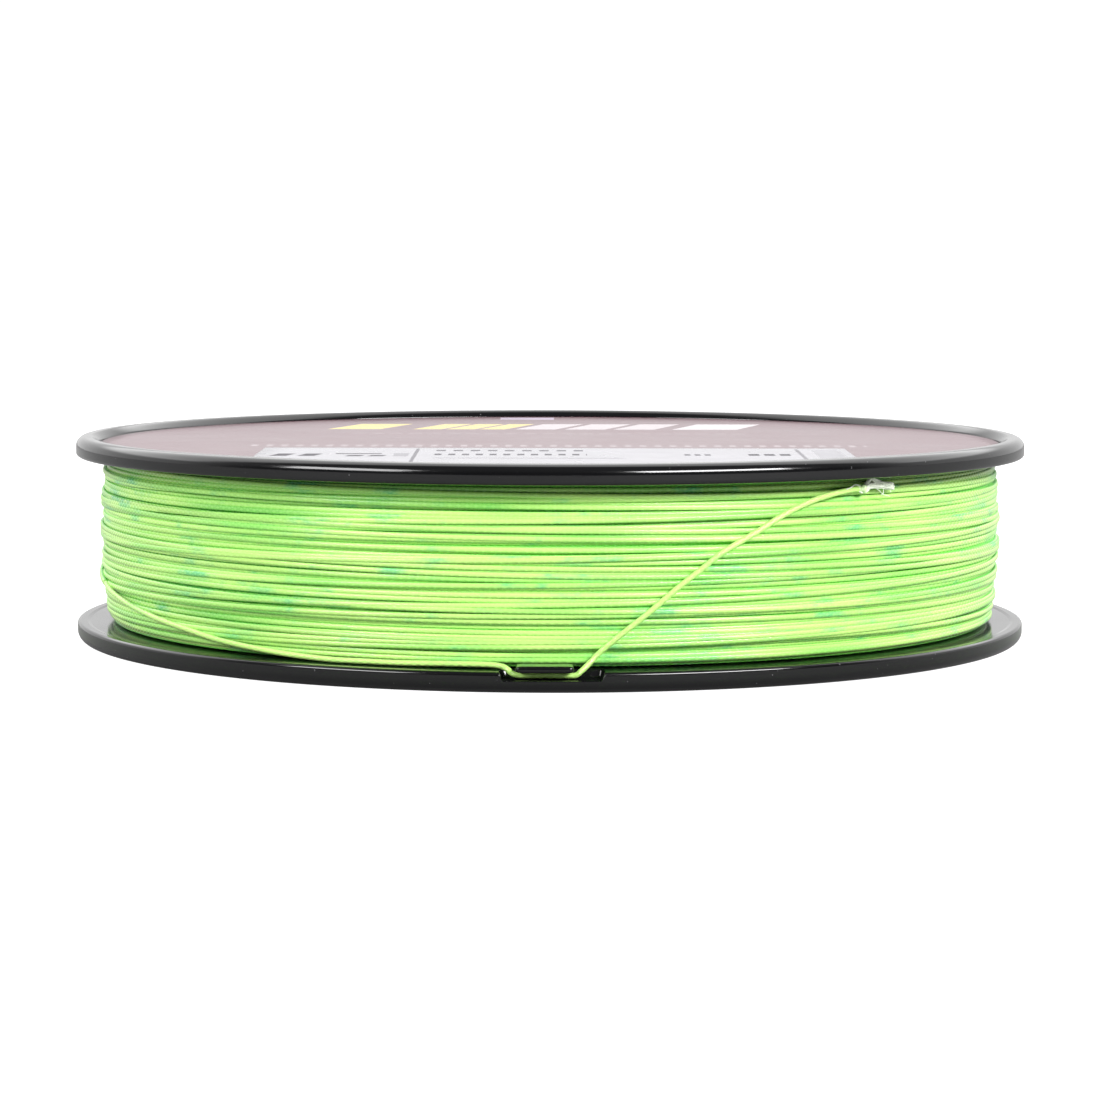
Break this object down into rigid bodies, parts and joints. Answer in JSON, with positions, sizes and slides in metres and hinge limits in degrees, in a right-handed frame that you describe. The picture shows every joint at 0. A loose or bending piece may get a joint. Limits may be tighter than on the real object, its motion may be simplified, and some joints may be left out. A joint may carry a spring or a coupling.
{
  "type": "fishing line spool",
  "caption": "Round flanged filler spool of braided fishing line, with a line clip in the lower rim and a recessed label.",
  "frame": {"origin": "centre of the lower resting face, on the spool's axis", "axes": "+Z along the spool's axis towards the labelled upper flange, -Y towards the line clip, +X to the right seen from the clip"},
  "size_m": [0.11, 0.11, 0.0234],
  "materials": {
    "spool_plastic": "gloss moulded",
    "tape": "satin",
    "braid": "coated braid",
    "braid_end": "frayed braid",
    "label_print": "satin printed",
    "sticker_print": "satin printed",
    "lower_label_print": "satin printed"
  },
  "bodies": {
    "spool": {"lower_spool_half": "spool_plastic", "upper_spool_half": "spool_plastic", "arbor_tape": "tape", "wound_line": "braid", "line_end": "braid", "end_knot": "braid_end", "top_label": "label_print", "size_sticker": "sticker_print", "lower_label": "lower_label_print"},
    "clip_tongue": {"line_clip_tongue": "spool_plastic"}
  },
  "joints": [
    {"name": "clip_flex", "type": "hinge", "parent": "spool", "child": "clip_tongue", "pos_m": [-0.0005, -0.0512, 0.00175], "axis": [-1, 0, 0], "range_deg": [0, 9], "stiffness_Nm_per_rad": 0.05}
  ]
}
